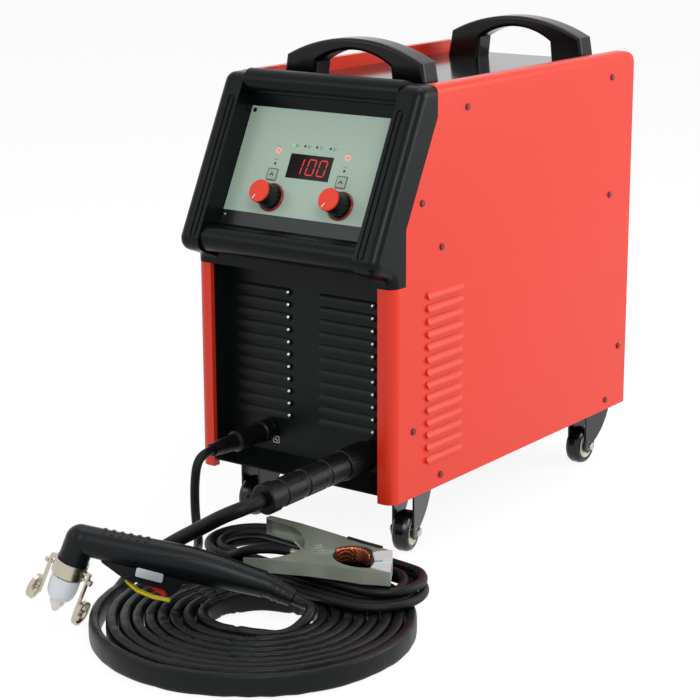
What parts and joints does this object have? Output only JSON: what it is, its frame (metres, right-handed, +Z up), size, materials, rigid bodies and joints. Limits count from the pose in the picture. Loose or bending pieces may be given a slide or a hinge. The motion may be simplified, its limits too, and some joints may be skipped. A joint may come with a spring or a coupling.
{
  "type": "plasma cutter",
  "caption": "Upright inverter plasma cutter on casters, with a sloped control panel, carrying handles, a coiled torch lead with its torch, and an earth lead with its clamp.",
  "frame": {"origin": "on the floor, under the middle of the cabinet", "axes": "+Z up, -Y out of the control panel's side, +X towards the machine's right-hand side as seen from the front"},
  "size_m": [0.4585, 1.0013, 0.598],
  "materials": {
    "red_sheet": "gloss",
    "black_sheet": "satin",
    "black_plastic": "fine texture",
    "label": "printed film",
    "display": "gloss",
    "lens": "gloss",
    "red_plastic": "satin",
    "grey_plastic": "satin",
    "circuit_board": "gloss",
    "zinc": "bright zinc plate",
    "dark_steel": "satin",
    "cast_aluminium": "satin",
    "copper_winding": "varnished",
    "brass": "satin",
    "wheel_rubber": "gloss",
    "cord_sheath": "matte",
    "yellow_plastic": "satin",
    "ceramic": "satin"
  },
  "bodies": {
    "machine": {"air_valve": "brass", "base_pan": "black_sheet", "bezel_frame": "black_plastic", "caster_plates": "zinc", "control_board": "circuit_board", "control_panel": "label", "cover_screws": "dark_steel", "display_window": "display", "earth_lead": "cord_sheath", "earth_lead_coil": "cord_sheath", "earth_plug": "black_plastic", "earth_socket": "black_plastic", "earth_tail": "cord_sheath", "fan_frame": "black_plastic", "fan_guard": "black_sheet", "front_handle": "black_plastic", "front_panel": "black_sheet", "guide_ring": "zinc", "heat_sink": "cast_aluminium", "indicator_leds": "lens", "inverter_board": "circuit_board", "left_cheek": "black_plastic", "left_side_cover": "red_sheet", "mains_gland": "black_plastic", "mains_switch": "black_plastic", "near_jaw": "zinc", "plug_sleeve": "black_plastic", "rear_handle": "black_plastic", "rear_panel": "black_sheet", "right_cheek": "black_plastic", "right_side_cover": "red_sheet", "shield_cup": "ceramic", "top_cover": "black_sheet", "torch_handle": "black_plastic", "torch_head": "brass", "torch_lead": "cord_sheath", "torch_lead_coil": "cord_sheath", "torch_socket": "black_plastic", "torch_tail": "cord_sheath", "transformer": "copper_winding"},
    "fan": {"fan_rotor": "black_plastic"},
    "left_knob": {"left_knob": "black_plastic"},
    "right_knob": {"right_knob": "black_plastic"},
    "left_button": {"left_select_button": "grey_plastic"},
    "right_button": {"right_select_button": "grey_plastic"},
    "rocker": {"mains_rocker": "red_plastic"},
    "front_left_swivel": {"front_left_fork": "zinc"},
    "front_left_wheel": {"front_left_wheel": "wheel_rubber"},
    "front_right_swivel": {"front_right_fork": "zinc"},
    "front_right_wheel": {"front_right_wheel": "wheel_rubber"},
    "rear_left_swivel": {"rear_left_fork": "zinc"},
    "rear_left_wheel": {"rear_left_wheel": "wheel_rubber"},
    "rear_right_swivel": {"rear_right_fork": "zinc"},
    "rear_right_wheel": {"rear_right_wheel": "wheel_rubber"},
    "coupling_nut": {"coupling_nut": "black_plastic"},
    "safety": {"trigger_safety": "yellow_plastic"},
    "trigger": {"torch_trigger": "red_plastic"},
    "near_guide_wheel": {"near_guide_wheel": "zinc"},
    "far_guide_wheel": {"far_guide_wheel": "zinc"},
    "far_jaw": {"far_jaw": "zinc"}
  },
  "joints": [
    {"name": "fan_spin", "type": "hinge", "parent": "machine", "child": "fan", "pos_m": [0.05, 0.246, 0.372], "axis": [0, 1, 0], "continuous": true},
    {"name": "left_knob_turn", "type": "hinge", "parent": "machine", "child": "left_knob", "pos_m": [-0.046, -0.25338, 0.41714], "axis": [0, -0.8934, 0.4493], "range_deg": [-300, 0]},
    {"name": "right_knob_turn", "type": "hinge", "parent": "machine", "child": "right_knob", "pos_m": [0.055, -0.25338, 0.41714], "axis": [0, -0.8934, 0.4493], "range_deg": [-300, 0]},
    {"name": "left_button_press", "type": "slide", "parent": "machine", "child": "left_button", "axis": [0, 0.8934, -0.4493], "range_m": [0, 0.0006], "stiffness_N_per_m": 400},
    {"name": "right_button_press", "type": "slide", "parent": "machine", "child": "right_button", "axis": [0, 0.8934, -0.4493], "range_m": [0, 0.0006], "stiffness_N_per_m": 400},
    {"name": "rocker_tip", "type": "hinge", "parent": "machine", "child": "rocker", "pos_m": [-0.088, 0.2715, 0.47], "axis": [0, 0, 1], "range_deg": [-24, 0]},
    {"name": "front_left_swivel", "type": "hinge", "parent": "machine", "child": "front_left_swivel", "pos_m": [-0.113, -0.188, 0.076], "axis": [0, 0, 1], "continuous": true},
    {"name": "front_left_roll", "type": "hinge", "parent": "front_left_swivel", "child": "front_left_wheel", "pos_m": [-0.11133, -0.21194, 0.025], "axis": [0.9976, 0.0698, 0], "continuous": true},
    {"name": "front_right_swivel", "type": "hinge", "parent": "machine", "child": "front_right_swivel", "pos_m": [0.113, -0.188, 0.076], "axis": [0, 0, 1], "continuous": true},
    {"name": "front_right_roll", "type": "hinge", "parent": "front_right_swivel", "child": "front_right_wheel", "pos_m": [0.11881, -0.21129, 0.025], "axis": [0.9703, 0.2419, 0], "continuous": true},
    {"name": "rear_left_swivel", "type": "hinge", "parent": "machine", "child": "rear_left_swivel", "pos_m": [-0.113, 0.24, 0.076], "axis": [0, 0, 1], "continuous": true},
    {"name": "rear_left_roll", "type": "hinge", "parent": "rear_left_swivel", "child": "rear_left_wheel", "pos_m": [-0.11551, 0.21613, 0.025], "axis": [0.9945, -0.1045, 0], "continuous": true},
    {"name": "rear_right_swivel", "type": "hinge", "parent": "machine", "child": "rear_right_swivel", "pos_m": [0.113, 0.24, 0.076], "axis": [0, 0, 1], "continuous": true},
    {"name": "rear_right_roll", "type": "hinge", "parent": "rear_right_swivel", "child": "rear_right_wheel", "pos_m": [0.113, 0.216, 0.025], "axis": [1, 0, 0], "continuous": true},
    {"name": "nut_turn", "type": "hinge", "parent": "machine", "child": "coupling_nut", "pos_m": [0.09083, -0.27968, 0.12421], "axis": [-0.1043, -0.9921, -0.0698], "continuous": true},
    {"name": "safety_squeeze", "type": "hinge", "parent": "machine", "child": "safety", "pos_m": [0.00654, -0.57993, 0.05726], "axis": [0.4894, -0.8721, 0], "range_deg": [0, 4.4], "stiffness_Nm_per_rad": 0.6, "springref_deg": -2.86},
    {"name": "trigger_squeeze", "type": "hinge", "parent": "machine", "child": "trigger", "pos_m": [0.01844, -0.57326, 0.05411], "axis": [0.4894, -0.8721, 0], "range_deg": [0, 6.6]},
    {"name": "near_guide_roll", "type": "hinge", "parent": "machine", "child": "near_guide_wheel", "pos_m": [-0.03243, -0.61279, 0.0143], "axis": [-0.9213, -0.1627, 0.3532], "continuous": true},
    {"name": "far_guide_roll", "type": "hinge", "parent": "machine", "child": "far_guide_wheel", "pos_m": [-0.08955, -0.62287, 0.0362], "axis": [-0.9213, -0.1627, 0.3532], "continuous": true},
    {"name": "jaw_open", "type": "hinge", "parent": "machine", "child": "far_jaw", "pos_m": [0.139, -0.414, 0.06], "axis": [0, 0, 1], "range_deg": [0, 16], "stiffness_Nm_per_rad": 2, "springref_deg": -17.19}
  ],
  "couplings": [
    {"joint": "trigger_squeeze", "follows": "safety_squeeze", "ratio": 1.45}
  ]
}
